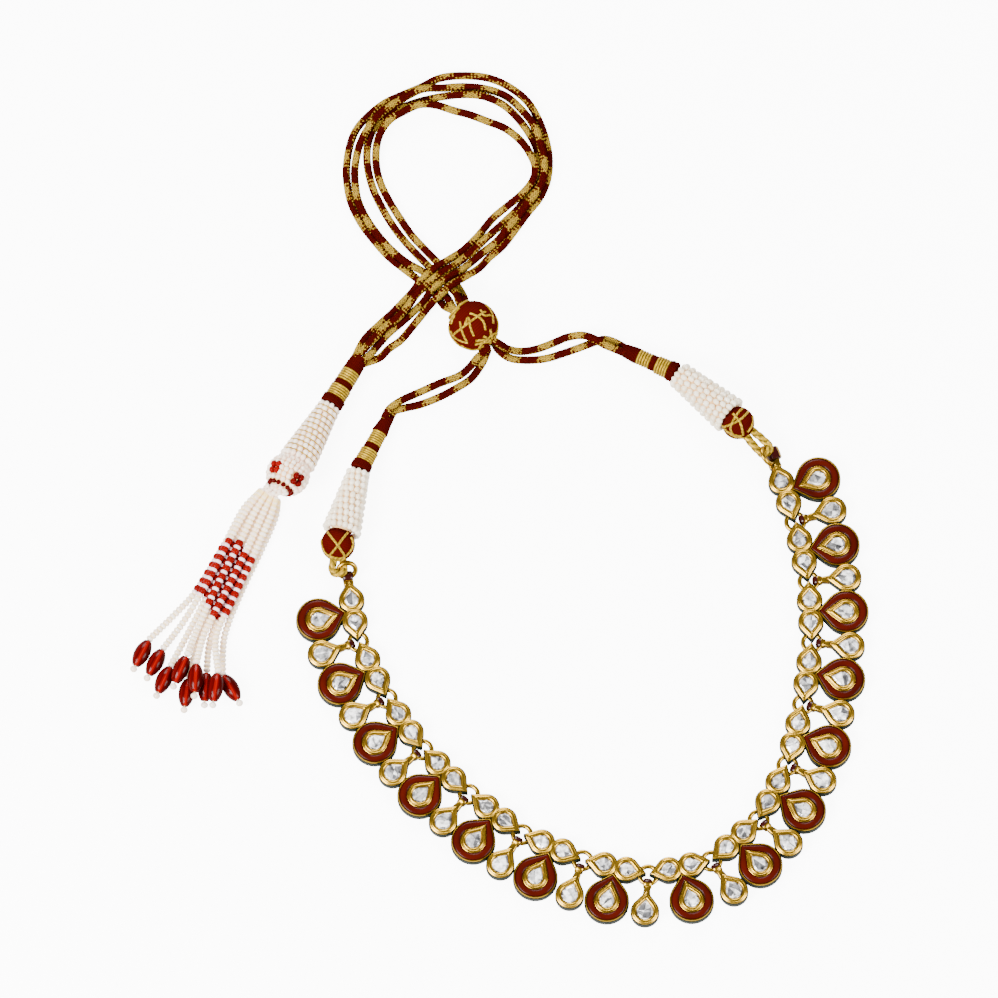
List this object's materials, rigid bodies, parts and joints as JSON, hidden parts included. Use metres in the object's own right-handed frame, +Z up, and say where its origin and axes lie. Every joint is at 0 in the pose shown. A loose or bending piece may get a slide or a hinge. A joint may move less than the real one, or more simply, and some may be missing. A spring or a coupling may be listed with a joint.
{
  "type": "kundan necklace",
  "caption": "Kundan style necklace of linked stone set plates and small drops, with beaded cuffs, a twisted cord with a slider ball and a beaded tassel, laid flat.",
  "frame": {"origin": "bottom centre of the box round the necklace without its four cord strands, on the surface that it lies on", "axes": "+X across the chain to the right, +Y from the front of the chain to the back of the neck, +Z up from the surface"},
  "size_m": [0.1918, 0.2304, 0.013],
  "materials": {
    "gold_metal": "polished gold plate",
    "red_enamel": "glossy translucent enamel",
    "cut_stone": "clear facets over foil",
    "red_thread": "wound silk thread",
    "gold_thread": "metallic thread",
    "white_seed_beads": "pearly seed beads",
    "pink_seed_beads": "pearly seed beads with red ones",
    "red_beads": "clear red glass",
    "twisted_cord": "braided thread in dark red and gold"
  },
  "bodies": {
    "root": {"unit_01": "gold_metal", "unit_02": "gold_metal", "unit_03": "gold_metal", "unit_04": "gold_metal", "unit_05": "gold_metal", "unit_06": "gold_metal", "unit_07": "gold_metal", "unit_08": "gold_metal", "unit_09": "gold_metal", "unit_10": "gold_metal", "unit_11": "gold_metal", "unit_12": "gold_metal", "unit_13": "gold_metal", "unit_14": "gold_metal", "unit_15": "gold_metal", "drop_01": "gold_metal", "drop_02": "gold_metal", "drop_03": "gold_metal", "drop_04": "gold_metal", "drop_05": "gold_metal", "drop_06": "gold_metal", "drop_07": "gold_metal", "drop_08": "gold_metal", "drop_09": "gold_metal", "drop_10": "gold_metal", "drop_11": "gold_metal", "drop_12": "gold_metal", "drop_13": "gold_metal", "drop_14": "gold_metal", "enamel": "red_enamel", "stones_large": "cut_stone", "stones_small": "cut_stone", "stones_drop": "cut_stone", "jump_rings": "gold_metal", "left_end_ring": "gold_metal", "right_end_ring": "gold_metal", "left_knob": "red_thread", "right_knob": "red_thread", "left_cuff": "white_seed_beads", "right_cuff": "white_seed_beads", "tassel_cuff": "pink_seed_beads", "left_binding": "red_thread", "right_binding": "red_thread", "tassel_binding": "red_thread", "left_winding": "gold_thread", "right_winding": "gold_thread", "tassel_winding": "gold_thread", "slider_ball": "red_thread", "bead_ball": "pink_seed_beads", "tassel_collar": "pink_seed_beads", "tassel_strands": "pink_seed_beads", "tassel_ovals": "red_beads", "tassel_end_beads": "red_beads", "tassel_threads": "gold_thread", "cord_left_a": "twisted_cord", "cord_left_b": "twisted_cord", "cord_right_a": "twisted_cord", "cord_right_b": "twisted_cord"}
  },
  "joints": []
}
